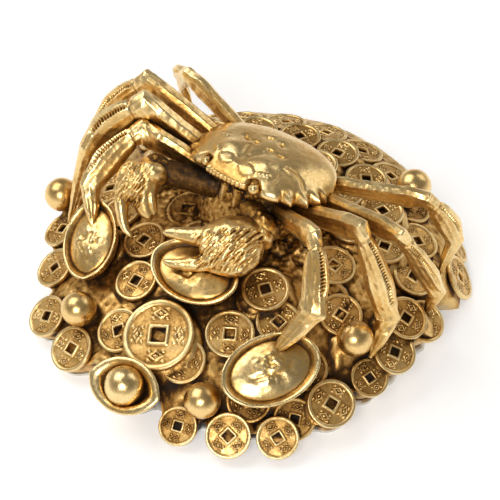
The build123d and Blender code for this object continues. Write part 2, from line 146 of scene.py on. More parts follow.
# %% Camera
DISTANCE, VIEW_ANGLE = 0.7, 13.97
LOOK_AT = Vector((2.4, -0.3, 18)) * MM
back = direction(40, 47)
bpy.ops.object.camera_add(location=LOOK_AT + back * DISTANCE)
camera = bpy.context.object
camera.rotation_euler = (-back).to_track_quat("-Z", "Y").to_euler()
camera.data.angle = radians(VIEW_ANGLE)
camera.data.clip_start = 0.01
bpy.context.scene.camera = camera
bpy.context.scene.view_settings.view_transform = "Standard"
print("Camera at", tuple(round(c, 3) for c in camera.location))

# %% [markdown]
# ## Antique brass
# Cast brass is a yellow metal. Old figurines are dipped in a brown patina and rubbed back, so the high places
# shine gold and the hollows stay almost black. A number on every corner of the mesh, `hollow`, says how deep
# in a recess it lies and how much nearby metal hides it; it holds that patina and also painted shade between
# and under the castings. It is worked out at the end from the finished shapes. The colour runs with it from
# rubbed gold to brown, and two noises break it up: broad clouds of stain and fine casting grain.

# %% Brass
STAIN_SIZE, GRAIN_SIZE = 14 * MM, 0.9 * MM


def antique_brass(name, colours, rough, grain_depth):
    """Cast brass: colours and roughness from rubbed metal to patina and painted shade, and the depth of the
    grain in mm.
    """
    brass = bpy.data.materials.new(name)
    brass.use_nodes = True
    tree = brass.node_tree
    place = add_node(tree, "ShaderNodeTexCoord").outputs["Object"]
    # The hollow number carries patina and painted shade into the colour.
    hollow = add_node(tree, "ShaderNodeAttribute", attribute_name="hollow").outputs["Fac"]
    feeds = {"Vector": place, "Scale": 1 / STAIN_SIZE, "Detail": 4.0}
    stain_and_shade = add_node(tree, "ShaderNodeTexNoise", feeds).outputs["Fac"]
    feeds = {"Vector": place, "Scale": 1 / GRAIN_SIZE, "Detail": 3.0}
    grain = add_node(tree, "ShaderNodeTexNoise", feeds).outputs["Fac"]
    depth = combine(tree, "ADD", hollow, remap(tree, stain_and_shade, 0.3, 0.7, -0.12, 0.12))
    depth = combine(tree, "ADD", depth, remap(tree, grain, 0.3, 0.7, -0.07, 0.07))
    tones = add_node(tree, "ShaderNodeValToRGB", {"Fac": depth})
    ramp = tones.color_ramp.elements
    ramp[0].position, ramp[0].color = colours[0][0], linear(colours[0][1])
    ramp[1].position, ramp[1].color = colours[-1][0], linear(colours[-1][1])
    for position, colour in colours[1:-1]:
        ramp.new(position).color = linear(colour)
    gloss = remap(tree, depth, 0.1, 0.8, *rough)
    feeds = {"Height": grain, "Strength": 0.5, "Distance": grain_depth * MM}
    finish = {
        "Base Color": tones.outputs["Color"],
        "Metallic": remap(tree, depth, 0.5, 1.0, 1.0, 0.55),
        "Roughness": combine(tree, "ADD", gloss, remap(tree, grain, 0.3, 0.7, -0.04, 0.06)),
        "Normal": add_node(tree, "ShaderNodeBump", feeds).outputs["Normal"],
    }
    for socket, source in finish.items():
        tree.links.new(source, tree.nodes["Principled BSDF"].inputs[socket])
    return brass


RUBBED = [(0.0, "#F7DCA0"), (0.3, "#E2B76C"), (0.5, "#B88A45"), (0.72, "#66451B"), (1.0, "#261709")]
PATINATED = [(0.0, "#F2D69A"), (0.28, "#D9AF69"), (0.45, "#AC8042"), (0.7, "#5E401B"), (1.0, "#221509")]
BURNISHED = [(0.0, "#F0CE8C"), (0.4, "#D6A85C"), (0.7, "#90662C"), (1.0, "#3C250F")]
RAW = [(0.0, "#E9C886"), (0.25, "#CCA05B"), (0.42, "#98703A"), (0.65, "#503517"), (1.0, "#1E1309")]
brasses = {
    "crab_brass": antique_brass("rubbed_cast_brass", RUBBED, (0.3, 0.52), 0.06),
    "coin_brass": antique_brass("patinated_cast_brass", PATINATED, (0.34, 0.58), 0.12),
    "ingot_brass": antique_brass("rubbed_ingot_brass", RUBBED, (0.28, 0.5), 0.05),
    "polished_brass": antique_brass("burnished_brass", BURNISHED, (0.29, 0.42), 0.03),
    "mound_brass": antique_brass("raw_cast_brass", RAW, (0.36, 0.6), 0.15),
}
print("Finishes:", len(brasses))

# %% [markdown]
# ## Tools for the wax bench
# Every casting starts as a simple mesh and is then pushed about. These helpers pick a piece, read and write
# its corners as numbers, close its seams, apply a modifier, and at the end hand the piece to the frame.

# %% Bench tools
def deselect():
    """Leaves nothing selected."""
    bpy.ops.object.select_all(action="DESELECT")


def only(piece):
    """Makes a piece the only one selected."""
    deselect()
    piece.select_set(True)
    bpy.context.view_layer.objects.active = piece


@contextmanager
def edit(piece):
    """Opens a piece in edit mode, with all of it selected."""
    only(piece)
    bpy.ops.object.mode_set(mode="EDIT")
    bpy.ops.mesh.select_all(action="SELECT")
    yield
    bpy.ops.object.mode_set(mode="OBJECT")


def new_piece(name, mesh):
    """Puts a mesh on the bench."""
    piece = bpy.data.objects.new(name, mesh)
    bpy.context.collection.objects.link(piece)
    return piece


def ball(radius, segments, rings):
    """A ball round the origin."""
    deselect()
    bpy.ops.mesh.primitive_uv_sphere_add(segments=segments, ring_count=rings, radius=radius)
    return bpy.context.object


def corners(piece, kind="co"):
    """Places, or normals, of a piece's corners as an array."""
    values = np.empty(len(piece.data.vertices) * 3)
    piece.data.vertices.foreach_get(kind, values)
    return values.reshape(-1, 3)


def polar(places):
    """Distance from the Z axis and turn round it of each place."""
    return np.hypot(places[:, 0], places[:, 1]), np.arctan2(places[:, 1], places[:, 0])


def spun(x, y, angle):
    """Places in plan, turned by an angle."""
    return x * np.cos(angle) - y * np.sin(angle), y * np.cos(angle) + x * np.sin(angle)


def triangles_of(piece):
    """Corner numbers of a piece's triangles."""
    piece.data.calc_loop_triangles()
    numbers = np.empty(len(piece.data.loop_triangles) * 3, dtype=np.int32)
    piece.data.loop_triangles.foreach_get("vertices", numbers)
    return numbers.reshape(-1, 3)


def move_corners(piece, places):
    """Puts a piece's corners at new places."""
    piece.data.vertices.foreach_set("co", np.ascontiguousarray(places, dtype=float).ravel())
    piece.data.update()


def note(piece, name, amount):
    """Writes a number on each corner of a piece, such as the stain and painted shade that a casting carries.
    """
    layer = piece.data.attributes.new(name, "FLOAT", "POINT")
    layer.data.foreach_set("value", np.broadcast_to(amount, len(piece.data.vertices)).astype(np.float32))


def close(piece, reach=1e-6):
    """Merges the doubles of a piece and turns its faces outwards."""
    with edit(piece):
        bpy.ops.mesh.remove_doubles(threshold=reach)
        bpy.ops.mesh.normals_make_consistent(inside=False)


def apply(piece, kind, **settings):
    """Adds a modifier and applies it."""
    only(piece)
    modifier = piece.modifiers.new(kind.lower(), kind)
    for name, value in settings.items():
        setattr(modifier, name, value)
    bpy.ops.object.modifier_apply(modifier=modifier.name)


def join(pieces, name):
    """Joins pieces into one."""
    only(pieces[0])
    for piece in pieces[1:]:
        piece.select_set(True)
    bpy.ops.object.join()
    pieces[0].name = name
    return pieces[0]


def roughen(piece, size, depth):
    """Pushes the surface in and out by cloudy lumps of a size and depth in mm."""
    pattern = bpy.data.textures.new(f"{piece.name}_{size}", "CLOUDS")
    pattern.noise_scale = size * MM
    apply(piece, "DISPLACE", texture=pattern, texture_coords="LOCAL", strength=depth * MM, mid_level=0.5)


def clouds(places, size):
    """Soft random lumps of a size in mm, at places in mm, from about -1 to 1."""
    return np.array([noise.noise(place) for place in (np.asarray(places) / size).tolist()])


def unit(v):
    """A direction of length 1, or an array of them."""
    v = np.asarray(v, dtype=float)
    return v / np.linalg.norm(v, axis=-1, keepdims=True)


finished = []


def hand_over(piece, node, angle, slot="crab_brass"):
    """Gives a casting its finish and puts it in the frame in place of its CAD node."""
    piece.name = f"{node}_cast"
    piece.data.name = piece.name
    piece.data.materials.clear()
    piece.data.materials.append(brasses[slot])
    only(piece)
    bpy.ops.object.shade_smooth_by_angle(angle=radians(angle))
    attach(piece, "root")
    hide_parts(node)
    finished.append(piece)
    print(piece.name, len(piece.data.vertices), "corners")


# %% [markdown]
# ## Where the coins and ingots lie
# A CAD coin is a disc with a square hole. Its thinnest way through is its axis, its widest point gives the
# diameter, and the corners nearest to the axis are those of the hole. So each place can be measured from the
# frame: a merged copy of the node is taken apart into its loose solids, and the spread of each solid gives
# its three axes.

# %% Measure the solids of a node
def loose_solids(node):
    """Corners and triangles of each separate solid of a CAD node."""
    with edit(new_piece("measured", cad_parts[node].data.copy())):
        bpy.ops.mesh.remove_doubles(threshold=1e-7)
        bpy.ops.mesh.separate(type="LOOSE")
    solids = [(corners(piece), triangles_of(piece)) for piece in bpy.context.selected_objects]
    bpy.ops.object.delete()
    return solids


DOME_Y, DOME_Z = 8, -98
DOME_CENTRE = np.array((0, DOME_Y, DOME_Z)) * MM


def lie(places, triangles):
    """Middle of a solid and its three axes: thinnest first and facing away from the mound, longest last."""
    a, b, c = (places[triangles[:, i]] for i in range(3))
    share = np.einsum("ij,ij->i", a, np.cross(b, c))
    middle = ((a + b + c) * share[:, None]).sum(0) / (4 * share.sum())
    a, b, c = a - middle, b - middle, c - middle
    spread = sum(np.einsum("i,ij,ik->jk", share, q, q) for q in (a, b, c, a + b + c))
    axes = np.linalg.eigh(spread / share.sum())[1].T
    if axes[0] @ (middle - DOME_CENTRE) < 0:
        axes[0] = -axes[0]
    return middle, axes


COIN_NODES = [
    "front_coins", "big_coin", "front_rim_coins", "left_coins", "right_coins",
    "rear_coins_lower", "rear_coins_middle", "rear_coins_upper", "skirt_coins",
]
coins = []
for node in COIN_NODES:
    for places, triangles in loose_solids(node):
        middle, axes = lie(places, triangles)
        away = places - middle
        rise = away @ axes[0]
        flat = away - np.outer(rise, axes[0])
        reach = np.linalg.norm(flat, axis=1)
        corner = flat[reach.argmin()] / reach.min()
        side = (corner + np.cross(corner, axes[0])) / sqrt(2)
        coins.append((node, middle + axes[0] * rise.min(), axes[0], side, reach.max()))
print("Coins measured:", len(coins))

# %% [markdown]
# ## The coin
# A cast coin has a raised rim, a square hole with a raised border, and four raised marks, each a lozenge with
# four dots. A lathe makes the blank: its half profile is drawn as a chain of edges and spun round. Then the
# inner rings are squared for the hole, the marks are pressed up, and the field keeps its stain. The underside
# is painted darker as shade.

# %% Lathe
def lathe(name, profile, steps):
    """Spins a half profile of (radius, height) points in mm round Z and closes the seam and the poles."""
    mesh = bpy.data.meshes.new(name)
    points = [(r * MM, 0, z * MM) for r, z in profile]
    mesh.from_pydata(points, [(i, i + 1) for i in range(len(points) - 1)], [])
    piece = new_piece(name, mesh)
    with edit(piece):
        bpy.ops.mesh.spin(steps=steps, angle=2 * pi, center=(0, 0, 0), axis=(0, 0, 1))
    close(piece)
    return piece


def ease(values, low, high):
    """0 below low, 1 above high, with a soft run between."""
    share = np.clip((values - low) / (high - low), 0, 1)
    return share * share * (3 - 2 * share)


def bell(off, width, power=2):
    """1 at no distance off, falling to 0 beyond a width; a higher power gives a flatter top."""
    return np.exp(-(off / width) ** power)


# %% Coin blank and marks
BLANK, FIELD, RIM_TOP = 15.0, 1.35, 1.8
MARK_AT, MARK_LONG, MARK_WIDE, MARK_HEIGHT = 4.45, 1.2, 1.8, 0.34
DOT_AT = (1.0, 1.5)
coin_profile = [(2.0, 0.05), (3.4, 0.0), (7.2, 0.0), (7.42, 0.12), (7.5, 0.4), (7.5, 1.4), (7.4, 1.68)]
coin_profile += [(7.2, RIM_TOP), (6.75, RIM_TOP - 0.02), (6.45, 1.68), (6.25, FIELD + 0.05)]
coin_profile += [(6.1 - 0.19 * i, FIELD) for i in range(20)]
coin_profile += [(2.3, FIELD + 0.06), (2.15, 1.7), (1.9, RIM_TOP - 0.03), (1.65, 1.72), (1.5, 1.5)]
coin_profile += [(1.5, 0.3), (2.0, 0.05)]
coin = lathe("coin", coin_profile, 88)
shape = corners(coin) / MM
ring, turn = polar(shape)
squared = 1 / np.maximum(np.abs(np.cos(turn)), np.abs(np.sin(turn)))
square = 1 - ease(ring, 2.2, 4.4)
shape[:, :2] *= (1 + (np.minimum(squared, 1.36) - 1) * square)[:, None]
x, y = shape[:, 0], shape[:, 1]
field = (shape[:, 2] > 1.0) & (ring < 6.2) & (ring > 2.4)
fret = np.zeros(len(shape))
for quarter in range(4):
    u, v = spun(x, y, -quarter * pi / 2)
    u, v = np.abs(u - MARK_AT), np.abs(v)
    lozenge, dot = u / MARK_LONG + v / MARK_WIDE, np.hypot(u - DOT_AT[0], v - DOT_AT[1])
    for off, low, high in ((np.abs(lozenge - 0.8), 0.13, 0.26), (lozenge, 0.22, 0.4), (dot, 0.22, 0.42)):
        fret = np.maximum(fret, 1 - ease(off, low, high))
shape[field, 2] += MARK_HEIGHT * fret[field]
move_corners(coin, shape * MM)
# The field keeps its stain; the underside, below 0.3 mm, gets painted shade.
note(coin, "stained_and_shaded", np.where(field, 0.1 * (1 - fret), 0.0) + 0.25 * (shape[:, 2] < 0.3))
print("Coin:", len(coin.data.vertices), "corners")

# %% Lay the coins
coin_pieces = {node: [] for node in COIN_NODES}
shape = corners(coin)
for index, (node, foot, axis, side, radius) in enumerate(coins):
    piece = new_piece(f"coin_{index}", coin.data.copy())
    wide = radius / (BLANK / 2 * MM)
    flat = np.outer(shape[:, 0], side) + np.outer(shape[:, 1], np.cross(axis, side))
    move_corners(piece, foot + wide * flat + np.outer(shape[:, 2], axis))
    coin_pieces[node].append(piece)
bpy.data.objects.remove(coin)
for node, pieces in coin_pieces.items():
    group = join(pieces, f"{node}_cast")
    roughen(group, 5.0, 0.3)
    hand_over(group, node, 50, "coin_brass")

# %% [markdown]
# ## Ingots
# An ingot is a small boat of gold: a hull, a lip and a filled middle. Three are full to the brim, with a
# splash frozen in the middle; the one in front has a wide flat lip and a ball sunk in it. The lathe gives a
# round dish. An outline between an oval and two arcs that meet in points then draws it out lengthwise.

# %% Boat outline
def boat_reach(turn, length, width, point):
    """Distance from the middle to the outline; point goes from 0, an oval, to 1, pointed ends."""
    arc = (length**2 + width**2) / (4 * width)
    drop = arc - width / 2
    s = np.abs(np.sin(turn))
    pointed = -drop * s + np.sqrt(drop**2 * s**2 + arc**2 - drop**2)
    oval = 1 / np.sqrt((2 * np.cos(turn) / length) ** 2 + (2 * s / width) ** 2)
    return oval * (1 - point) + pointed * point


HULL = [(0, 0), (0.3, 0), (0.5, 0), (0.53, 0.4), (0.61, 1.2), (0.7, 2.2), (0.79, 3.3), (0.86, 4.3)]
HULL += [(0.92, 5.6), (0.965, 7.0)]
THIN_LIP = [(0.99, 7.8), (1.0, 8.2), (0.99, 8.5), (0.965, 8.6), (0.93, 8.5), (0.895, 8.1)]
THIN_LIP += [(0.86, 7.6), (0.83, 7.3)]
FULL = [(0.8 * s, 7.15 + 2.3 * (1 - s * s) ** 0.75) for s in np.linspace(1, 0, 26)]
WIDE_LIP = [(0.99, 7.9), (1.0, 8.3), (0.985, 8.55), (0.93, 8.75), (0.86, 8.8), (0.79, 8.7)]
WIDE_LIP += [(0.73, 8.4), (0.68, 7.9)]
SUNK = [(0.62, 7.2), (0.5, 6.6), (0.3, 6.2), (0, 6.2)]

# %% Ingot castings
# Each row: length in mm, and how pointed the ends are.
INGOTS = {
    "ingot_front": (27.0, 0.8),
    "ingot_right": (30.0, 0.5),
    "ingot_centre": (33.0, 0.25),
    "ingot_left": (34.0, 0.1),
}
DISH, SLENDER, FIT = 10, 0.7, 0.985
SUNK_BALL, SUNK_BALL_AT = 6.6, 8.2
boats = {}
for node, (length, point) in INGOTS.items():
    (places, triangles), = loose_solids(node)
    middle, axes = lie(places, triangles)
    normal, long = axes[0], axes[2]
    across = np.cross(normal, long)
    foot = middle + normal * ((places - middle) @ normal).min()
    boats[node] = (foot, normal, length)
    front = node == "ingot_front"
    profile = HULL + (WIDE_LIP + SUNK if front else THIN_LIP + FULL)
    boat = lathe(node, [(r * DISH, z) for r, z in profile], 112)
    shape = corners(boat) / MM
    share, turn = polar(shape)
    share = share / DISH
    reach = boat_reach(turn, length, SLENDER * length, point) * share * FIT
    ends = np.abs(np.cos(turn)) ** 6 * ease(share, 0.6, 1.0)
    rise = shape[:, 2] + (0.3 if front else 0.9) * ends * ease(shape[:, 2], 4.0, 8.0)
    if not front:
        splash = (1 - ease(share, 0.2, 0.62)) * (shape[:, 2] > 4)
        rise += splash * (0.75 * clouds(shape + length, 2.6) + 0.4 * clouds(shape - length, 1.3))
    flat = np.outer(reach * np.cos(turn), long) + np.outer(reach * np.sin(turn), across)
    move_corners(boat, foot + (flat + np.outer(rise, normal)) * MM)
    close(boat)
    if front:
        pearl = ball(SUNK_BALL * MM, 64, 40)
        move_corners(pearl, corners(pearl) + foot + normal * SUNK_BALL_AT * MM)
        boat = join([boat, pearl], node)
    roughen(boat, 4.0, 0.3)
    hand_over(boat, node, 50, "ingot_brass")

# %% [markdown]
# ## Pearls
# The pearls are cast balls, burnished but never quite round. A sphere is squeezed a little and given broad
# soft dents.

# %% Pearls
balls = []
pearls = []
for index, (places, triangles) in enumerate(loose_solids("pearls")):
    middle = lie(places, triangles)[0]
    radius = np.linalg.norm(places - middle, axis=1).max()
    pearls.append((middle, radius))
    pearl = ball(radius, 72, 44)
    shape = corners(pearl)
    shape[:, 2] *= 0.985 - 0.006 * index
    move_corners(pearl, shape + middle)
    balls.append(pearl)
pearl_group = join(balls, "pearls_cast")
roughen(pearl_group, 6.0, 0.22)
hand_over(pearl_group, "pearls", 60, "polished_brass")

# %% [markdown]
# ## Mound
# Under the heap is a hollow dome of cast metal. Where coins lie on it the wax ran up to their undersides, so
# the ground rises to each coin and falls away as a soft web, and near the crab it is rocky. The edge of the
# base follows the coins that lie there, and its wall flares out behind the coins that lean on it. The lathe
# makes the shell; its outline is then drawn out to the coins, and the ground is raised at each place to the
# highest of what lies there.

# %% Edge of the base
DOME, RADIUS, WALL = 130.0, 69.0, 3.0
STEPS, RINGS, WALL_RINGS = 440, 130, 10
EDGE, EDGE_AT_LEANING, EDGE_LIMIT = 66.8, 2.1, 76.0
COIN_WEB, INGOT_WEB, PEARL_WEB = 1.25, 1.6, 0.9
bearings = np.arange(STEPS) * 2 * pi / STEPS
ways = np.stack((np.cos(bearings), np.sin(bearings)), 1)
spots = []
leaning = np.zeros(STEPS)
for node, foot, axis, side, radius in coins:
    if node == "skirt_coins":
        off = np.abs((bearings - atan2(foot[1], foot[0]) + pi) % (2 * pi) - pi)
        leaning = np.maximum(leaning, 1 - ease(off, 0.1, 0.16))
    else:
        spots.append((foot / MM, axis, radius / MM, COIN_WEB))
edge = EDGE + EDGE_AT_LEANING * leaning
for foot, axis, radius, _ in spots:
    tilt = np.eye(2) + np.outer(axis[:2], axis[:2]) / axis[2] ** 2
    a = np.einsum("ij,jk,ik->i", ways, tilt, ways)
    b = ways @ tilt @ foot[:2]
    c = foot[:2] @ tilt @ foot[:2] - radius**2
    out = (b + np.sqrt(np.maximum(b * b - a * c, 0))) / a
    edge = np.where((b * b > a * c) & (b > 0), np.maximum(edge, out - 0.5), edge)
edge = np.minimum(edge, EDGE_LIMIT)
edge = np.mean([np.roll(edge, k) for k in (-2, -1, 0, 1, 2)], axis=0)
print("Base edge from", round(edge.min(), 1), "to", round(edge.max(), 1), "mm")

# %% Ground
# Each coin that is half buried in the ground: x, y and radius in mm, and its lean along x and y.
BURIED = [
    (-9, -17, 7.0, 0.15, 0.1), (-19, -8, 7.2, -0.1, 0.12), (24, -22, 7.4, 0.1, -0.1),
    (33, -24, 7.0, -0.12, 0.1), (41, -6, 7.2, 0.12, 0.1), (30, 8, 7.0, 0.1, -0.12),
    (-33, 12, 7.2, -0.1, 0.1), (2, -48, 7.0, 0.0, 0.12),
]
ROCKS = np.array((-2.0, 6.0))
DOME_FALL = 110
LOWEST = 0.6


def dome_height(x, y, radius):
    """Height of the mound's dome over a place in plan."""
    return np.sqrt(np.maximum(radius**2 - x**2 - (y - DOME_Y) ** 2, 0)) + DOME_Z


def ground_height(x, y):
    """Height of the cast ground between and under the coins."""
    flat = np.stack((x, y, np.zeros(len(x))), 1)
    rock = 1 - ease(np.hypot((x - ROCKS[0]) / 1.5, y - ROCKS[1]), 15, 27)
    coarse, fine = clouds(flat, 4.2), clouds(flat + 50, 1.5)
    height = dome_height(x, y, DOME) + 0.2 + (0.45 + 1.5 * rock) * coarse + (0.22 + 0.7 * rock) * fine
    for at_x, at_y, radius, lean_x, lean_y in BURIED:
        dx, dy = x - at_x, y - at_y
        away = np.hypot(dx, dy)
        hole = np.maximum(np.abs(dx + 0.4 * dy), np.abs(dy - 0.4 * dx)) / 1.08
        face = dome_height(at_x, at_y, DOME) - (at_x * dx + (at_y - DOME_Y) * dy) / DOME_FALL
        face = face + 0.55 + lean_x * dx + lean_y * dy + 0.45 * ease(away, radius - 1.4, radius - 1.0)
        face = face + 0.4 * (hole < 2.4) - 1.3 * (hole < 1.7)
        face = face - 3.0 * ease(away, radius - 0.3, radius + 0.5) + 0.2 * fine
        height = np.where(away < radius + 0.6, np.maximum(height, face), height)
    for foot, axis, radius, slope in spots:
        dx, dy = x - foot[0], y - foot[1]
        plane = foot[2] - (axis[0] * dx + axis[1] * dy) / axis[2]
        away = np.sqrt(dx**2 + dy**2 + (plane - foot[2]) ** 2)
        fall = np.maximum(away - radius + 0.4, 0)
        fall = slope * fall**2 / (fall + 1.0) * (1 + 0.5 * coarse) + 0.15 * fine * (away > radius)
        height = np.where(away < radius + 7, np.maximum(height, plane - 0.06 - fall), height)
    return np.maximum(height, LOWEST)


spots += [(foot / MM, normal, 0.27 * length, INGOT_WEB) for foot, normal, length in boats.values()]
for middle, radius in pearls:
    up = unit(middle - DOME_CENTRE)
    spots.append(((middle - up * 0.86 * radius) / MM, up, 0.5 * radius / MM, PEARL_WEB))

# %% Painted reflection of the floor at the foot
# A pale grey band is painted along the bottom of the wall where it stands free, as the reflection of the
# white floor.
tree = brasses["mound_brass"].node_tree
base = tree.nodes["Principled BSDF"].inputs["Base Color"]
floor_reflection_band = add_node(tree, "ShaderNodeAttribute", attribute_name="floor_reflection_band").outputs["Fac"]
feeds = {0: floor_reflection_band, 6: base.links[0].from_socket, 7: linear("#D9D7D0")}
floor_reflection_mix = add_node(tree, "ShaderNodeMix", feeds, data_type="RGBA")
tree.links.new(floor_reflection_mix.outputs[2], base)

# %% Mound shell
GROUND, CEILING, WALL_TOP, FLARE = 30.0, 20.0, 10.0, 6.2


def free_of_coins(turn):
    """1 at bearings where the wall stands free, 0 where a coin leans on it."""
    return 1 - np.interp(turn, bearings, leaning, period=2 * pi)


profile = [(RADIUS * i / RINGS, GROUND) for i in range(RINGS + 1)]
profile += [(RADIUS, WALL_TOP * (1 - i / WALL_RINGS)) for i in range(1, WALL_RINGS + 1)]
profile += [(64.2, 0.0)] + [(64.0 * (1 - i / 24), CEILING) for i in range(25)]
mound = lathe("mound", profile, STEPS)
shape = corners(mound) / MM
ring, turn = polar(shape)
reach = np.interp(turn, bearings, edge, period=2 * pi) / RADIUS
ground = shape[:, 2] > (GROUND + CEILING) / 2
ceiling = (shape[:, 2] > (CEILING + WALL_TOP) / 2) & ~ground
wall = (ring > RADIUS - 0.1) & ~ground
down = np.where(wall, 1 - shape[:, 2] / WALL_TOP, 0)
shape[ground, :2] *= (1 + (reach - 1) * ease(ring / RADIUS, 0.72, 1.0))[ground, None]
shape[wall, :2] *= reach[wall, None]
shape[ground, 2] = ground_height(shape[ground, 0], shape[ground, 1])
shape[wall, 2] = ground_height(shape[wall, 0], shape[wall, 1])
free = free_of_coins(turn)
under = np.where(down > 0.85, 0.42, 0.72 * down) * free
tuck = (under * shape[:, 2] + 0.6 * clouds(shape + 20, 3.0) * np.sin(pi * down)) * wall
flare = FLARE * (1 - free) * down * wall
shape[wall, :2] *= (1 + (flare - tuck) / ring)[wall, None]
shape[wall, 2] = np.where(down > 0.95, 0, np.where(down > 0.85, 1.1, shape[:, 2] * (1 - down)))[wall]
shape[ceiling, 2] = dome_height(shape[ceiling, 0], shape[ceiling, 1], DOME - WALL)
move_corners(mound, shape * MM)
close(mound)
shape = corners(mound) / MM
free = free_of_coins(polar(shape)[1])
# Painted reflection of the white floor on the bottom 1 to 1.6 mm of the free wall.
note(mound, "floor_reflection_band", free * (1 - ease(shape[:, 2], 1.0, 1.6)))
# Painted shade on the ground under the crab, fading out between 18 and 36 mm from the rocks.
note(mound, "stained_and_shaded", 0.12 * (1 - ease(np.hypot(*(shape[:, :2] - ROCKS).T), 18, 36)))
hand_over(mound, "mound_shell", 60, "mound_brass")

# %% [markdown]
# ## The crab's own frame
# All that belongs to the crab's body is drawn in one tilted frame: X to the crab's left, Y to its rear, Z out
# of its back, with the margin of the back shell at Z = 0. The nose points up by 14 degrees.

# %% Body frame
PITCH = radians(14)
BODY_AT = np.array((-2.0, 11.0, 50.0))
BODY_AXES = np.array((
    (1, 0, 0),
    (0, cos(PITCH), -sin(PITCH)),
    (0, sin(PITCH), cos(PITCH)),
))


def from_body(points):
    """Body places in mm to frame places in mm."""
    return BODY_AT + np.asarray(points) @ BODY_AXES


# %% [markdown]
# ## Back shell
# The shell is a low dome, wider than long, with teeth on each side of the front, two eye sockets and a finely
# toothed brow. On top are soft swellings, two lids behind the brow, short dents and a ridge on each side.
# The lathe gives a fine disc, an outline by bearing gives margin, teeth and sockets, and the relief is
# modelled by strokes as with a wax tool.

# %% Strokes of the wax tool
def stroke(x, y, line, width):
    """Closeness to a line through points, from 0 far off to 1 on it, for a tool of some width."""
    near = np.full(len(x), 1e9)
    for (ax, ay), (bx, by) in zip(line[:-1], line[1:]):
        dx, dy = bx - ax, by - ay
        share = np.clip(((x - ax) * dx + (y - ay) * dy) / (dx * dx + dy * dy), 0, 1)
        near = np.minimum(near, np.hypot(x - ax - share * dx, y - ay - share * dy))
    return bell(near, width)


def swelling(x, y, at, size):
    """A soft round swelling, 1 at its middle."""
    return bell(x - at[0], size[0]) * bell(y - at[1], size[1])


# %% Shell outline
HEAD, ROLL, SHELL_AT = 6.5, radians(5), np.array((2.0, -0.6, -0.6))
SHELL_WIDE, SHELL_FRONT, SHELL_REAR, CROWN, RIM = 26.5, 19.0, 17.8, 7.7, 1.9
DISC, SHELL_RINGS, SHELL_STEPS = 10, 130, 520
SOCKET = 26


def from_shell(points):
    """Shell places in mm to frame places: the shell sits a little to the crab's left and leans up there."""
    x, y, z = np.asarray(points).T
    x, z = spun(x, z, ROLL)
    return from_body(np.stack((x, y, z), 1) + SHELL_AT)


shell_profile = [(DISC * i / SHELL_RINGS, 1.0) for i in range(SHELL_RINGS + 1)]
shell_profile += [(10.0, 0.6), (9.9, 0.2), (9.6, 0.0), (8.5, 0.0), (6.0, 0.0), (3.0, 0.0), (0, 0.0)]
shell = lathe("shell", shell_profile, SHELL_STEPS)
shape = corners(shell) / MM
share = polar(shape)[0] / DISC
bearing = np.degrees(np.arctan2(shape[:, 0], -shape[:, 1]))
side, head = np.abs(bearing), np.abs(bearing + HEAD)
level = shape[:, 2].copy()
margin = 1 + 0.02 * np.sin(np.radians(2 * side)) ** 2
margin += 0.03 * bell(head - 40, 7, 4) * ease(share, 0.85, 1.0)
for middle, width, size in ((55.5, 5.0, 0.075), (68.5, 5.5, 0.085), (82.0, 5.0, 0.06), (93.0, 4.0, 0.03)):
    tooth = np.clip(1 - np.abs(head - middle - 3 * (1 - share)) / width, 0, 1)
    margin += size * tooth**1.3 * ease(share, 0.88, 1.0)
for middle in (49.5, 61.5, 75.5, 88.5):
    margin -= 0.03 * bell(head - middle, 2.2) * ease(share, 0.9, 1.0)
for middle in (1.8, 5.4, 9.0, 12.6, 16.2):
    tooth = np.clip(1 - np.abs(head - middle) / 1.7, 0, 1)
    margin += 0.03 * tooth * ease(share, 0.95, 1.0)
margin -= 0.13 * bell(head - SOCKET, 5.5, 4) * ease(share, 0.84, 0.97)
x = SHELL_WIDE * share * np.sin(np.radians(bearing)) * margin
y = -np.where(side < 90, SHELL_FRONT, SHELL_REAR) * share * np.cos(np.radians(bearing)) * margin
rim = RIM - 3.0 * np.sin(np.radians(side)) ** 2 * ease(125 - side, 0, 40)
crown = rim + (CROWN - rim) * np.clip(1 - share**2.5, 0, 1) ** 0.6
print("Shell margin: half width", round(x.max(), 1), "mm")

# %% Shell relief
# On each side of the middle: height of a stroke in mm, width of the tool, and the line that it draws.
DENTS = (
    (1.1, [(9.0, -1.1), (6.2, -2.4)]),
    (1.2, [(1.8, 4.8), (3.9, 3.8)]),
    (0.9, [(2.6, -1.8), (4.0, -1.6)]),
)
STROKES = (
    (0.2, 0.5, [(7.6, -14.0), (6.6, -15.0), (5.0, -15.6), (3.2, -15.4), (1.8, -14.4)]),
    (-0.18, 0.6, [(8.4, -14.6), (7.0, -16.0), (5.0, -16.6), (2.8, -16.4), (0.8, -15.0)]),
    (-0.15, 0.6, [(7.4, -12.8), (6.0, -12.0), (4.2, -11.8), (2.0, -12.4)]),
    (0.3, 0.6, [(13.6, -5.0), (17.5, -4.7), (20.2, -5.0), (22.0, -6.2)]),
    (-0.25, 0.6, [(13.6, -3.7), (17.5, -3.4), (20.6, -3.7), (22.6, -4.8)]),
)
BEADS = (((9.8, -13.1), 0.8), ((11.0, -12.3), 0.7), ((12.2, -11.6), 0.8))
turned = radians(HEAD)
head_x, head_y = spun(x, y, turned)
relief = 0.35 * swelling(head_x, head_y, (0, -2), (7, 5)) + 0.3 * swelling(head_x, head_y, (0, 8), (5, 4))
